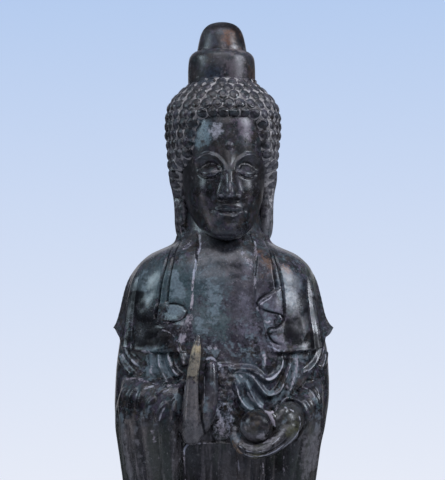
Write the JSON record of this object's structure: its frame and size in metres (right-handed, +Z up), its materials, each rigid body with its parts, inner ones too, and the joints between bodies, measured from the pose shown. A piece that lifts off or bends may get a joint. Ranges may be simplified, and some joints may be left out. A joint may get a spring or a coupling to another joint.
{
  "type": "standing robed stone statue",
  "caption": "Standing robed figure carved in dark stone on a low oval plinth, with curled hair, a tiered topknot, one hand raised and the other holding a round jewel.",
  "frame": {"origin": "centre of the plinth's underside", "axes": "+Z up, the figure faces -Y, +X to the viewer's right"},
  "size_m": [0.385, 0.37, 1.4997],
  "materials": {
    "stone": "dark polished stone, worn and dusty in its hollows"
  },
  "bodies": {
    "root": {"statue": "stone"}
  },
  "joints": []
}
